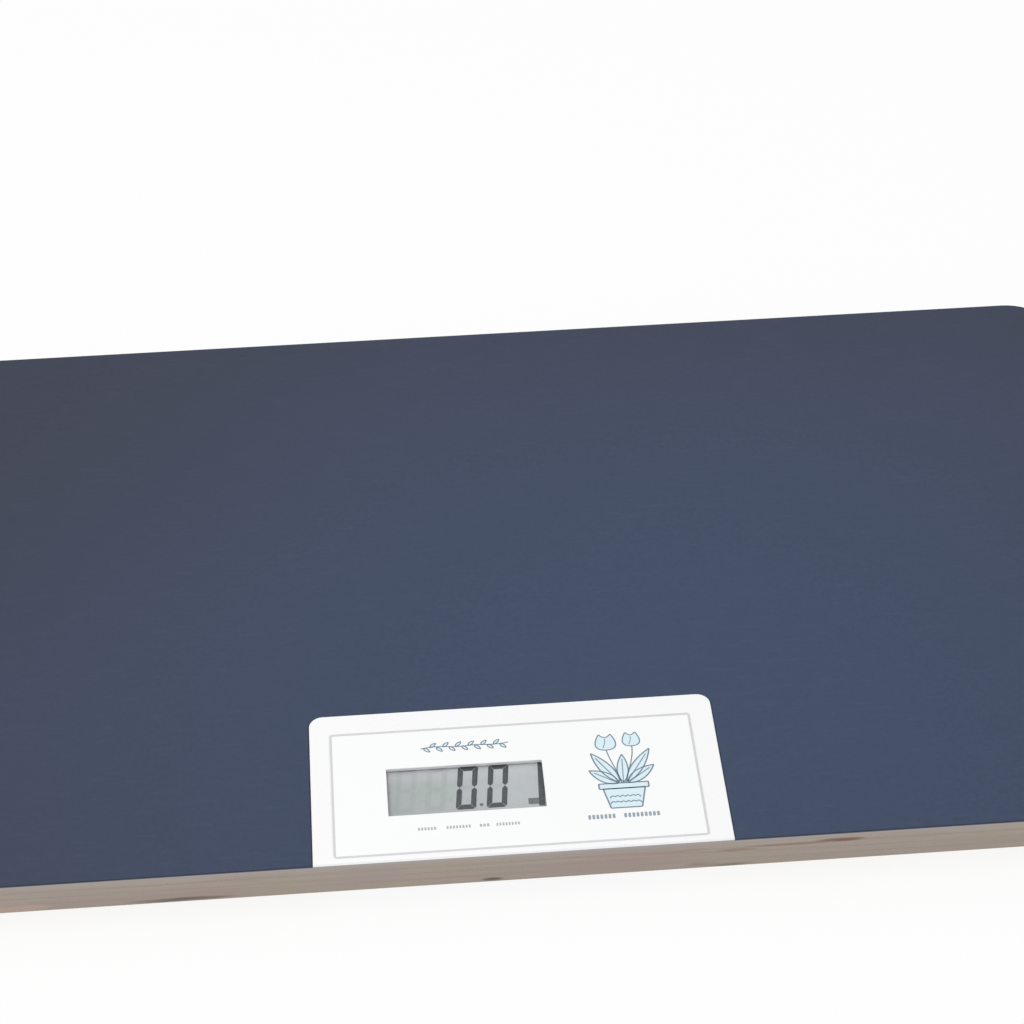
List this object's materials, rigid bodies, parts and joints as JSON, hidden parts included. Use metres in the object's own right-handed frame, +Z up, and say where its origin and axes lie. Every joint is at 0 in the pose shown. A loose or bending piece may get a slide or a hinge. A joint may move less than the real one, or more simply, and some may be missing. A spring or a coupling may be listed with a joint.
{
  "type": "platform scale",
  "caption": "Flat platform scale: a faced plywood board with a display unit let into one long edge, standing on load-cell feet.",
  "frame": {"origin": "on the floor, under the middle of the board's outline", "axes": "+X to the right for someone who reads the display, +Y away from them, +Z up"},
  "size_m": [0.6, 0.35, 0.0321],
  "materials": {
    "plywood": "sanded edge, satin",
    "blue_facing": "fine matt laminate",
    "back_veneer": "sanded veneer, matt lacquer",
    "white_plastic": "semi-gloss moulding",
    "label_print": "printed film, satin",
    "clear_window": "polished",
    "display_glass": "liquid-crystal display, satin polariser",
    "frame_plastic": "matt",
    "strip_rubber": "matt",
    "circuit_laminate": "solder mask, gloss",
    "zinc_steel": "zinc plated",
    "socket_nylon": "matt",
    "plug_nylon": "matt",
    "chip_black": "matt",
    "crystal_can": "plated can",
    "capacitor_can": "sleeved can",
    "tap_brass": "plain",
    "thin_wire": "insulated wire",
    "switch_case": "matt",
    "plunger_plastic": "matt",
    "button_plastic": "satin",
    "cover_plastic": "fine texture",
    "battery_jacket": "printed jacket, bare of words",
    "contact_metal": "nickel plated spring strip",
    "load_cell_steel": "bright",
    "gauge_sealant": "silicone, satin",
    "lead_jacket": "matt jacket",
    "clip_nylon": "natural nylon",
    "pad_rubber": "matt"
  },
  "bodies": {
    "platform": {"platform_board": "plywood", "top_facing": "blue_facing", "underside_backing": "back_veneer", "display_housing": "white_plastic", "display_label": "label_print", "window_lens": "clear_window", "lcd_cell": "display_glass", "lcd_frame": "frame_plastic", "contact_strips": "strip_rubber", "circuit_board": "circuit_laminate", "circuit_screws": "zinc_steel", "lead_sockets": "socket_nylon", "lead_plugs": "plug_nylon", "processor_chip": "chip_black", "converter_chip": "chip_black", "quartz_crystal": "crystal_can", "capacitors": "capacitor_can", "chip_resistors": "chip_black", "tap_sensor": "tap_brass", "tap_wires": "thin_wire", "battery_wires": "thin_wire", "unit_switch": "switch_case", "rear_cover": "cover_plastic", "cover_screws": "zinc_steel", "batteries": "battery_jacket", "battery_contacts": "contact_metal", "carrier_screws": "zinc_steel", "load_cell_screws": "zinc_steel", "strain_gauges": "gauge_sealant", "gauge_wires": "thin_wire", "lead_clips": "clip_nylon", "clip_nails": "zinc_steel", "sensor_carrier_front_left": "cover_plastic", "load_cell_front_left": "load_cell_steel", "sensor_lead_front_left": "lead_jacket", "sensor_carrier_front_right": "cover_plastic", "load_cell_front_right": "load_cell_steel", "sensor_lead_front_right": "lead_jacket", "sensor_carrier_back_left": "cover_plastic", "load_cell_back_left": "load_cell_steel", "sensor_lead_back_left": "lead_jacket", "sensor_carrier_back_right": "cover_plastic", "load_cell_back_right": "load_cell_steel", "sensor_lead_back_right": "lead_jacket"},
    "battery_door": {"battery_door": "cover_plastic"},
    "unit_button": {"unit_button": "button_plastic", "switch_plunger": "plunger_plastic"},
    "foot_front_left": {"foot_front_left": "cover_plastic", "foot_pad_front_left": "pad_rubber", "foot_screw_front_left": "zinc_steel"},
    "foot_front_right": {"foot_front_right": "cover_plastic", "foot_pad_front_right": "pad_rubber", "foot_screw_front_right": "zinc_steel"},
    "foot_back_left": {"foot_back_left": "cover_plastic", "foot_pad_back_left": "pad_rubber", "foot_screw_back_left": "zinc_steel"},
    "foot_back_right": {"foot_back_right": "cover_plastic", "foot_pad_back_right": "pad_rubber", "foot_screw_back_right": "zinc_steel"}
  },
  "joints": [
    {"name": "foot_press_front_left", "type": "slide", "parent": "platform", "child": "foot_front_left", "axis": [0, 0, 1], "range_m": [0, 0.0005], "stiffness_N_per_m": 20000, "springref_m": -0.001, "deforming": ["load_cell_front_left"]},
    {"name": "foot_press_front_right", "type": "slide", "parent": "platform", "child": "foot_front_right", "axis": [0, 0, 1], "range_m": [0, 0.0005], "stiffness_N_per_m": 20000, "springref_m": -0.001, "deforming": ["load_cell_front_right"]},
    {"name": "foot_press_back_left", "type": "slide", "parent": "platform", "child": "foot_back_left", "axis": [0, 0, 1], "range_m": [0, 0.0005], "stiffness_N_per_m": 20000, "springref_m": -0.001, "deforming": ["load_cell_back_left"]},
    {"name": "foot_press_back_right", "type": "slide", "parent": "platform", "child": "foot_back_right", "axis": [0, 0, 1], "range_m": [0, 0.0005], "stiffness_N_per_m": 20000, "springref_m": -0.001, "deforming": ["load_cell_back_right"]},
    {"name": "battery_door_slide", "type": "slide", "parent": "platform", "child": "battery_door", "axis": [0, 1, 0], "range_m": [0, 0.0499]},
    {"name": "unit_button_press", "type": "slide", "parent": "platform", "child": "unit_button", "axis": [0, 0, 1], "range_m": [0, 0.0006], "stiffness_N_per_m": 2500}
  ]
}
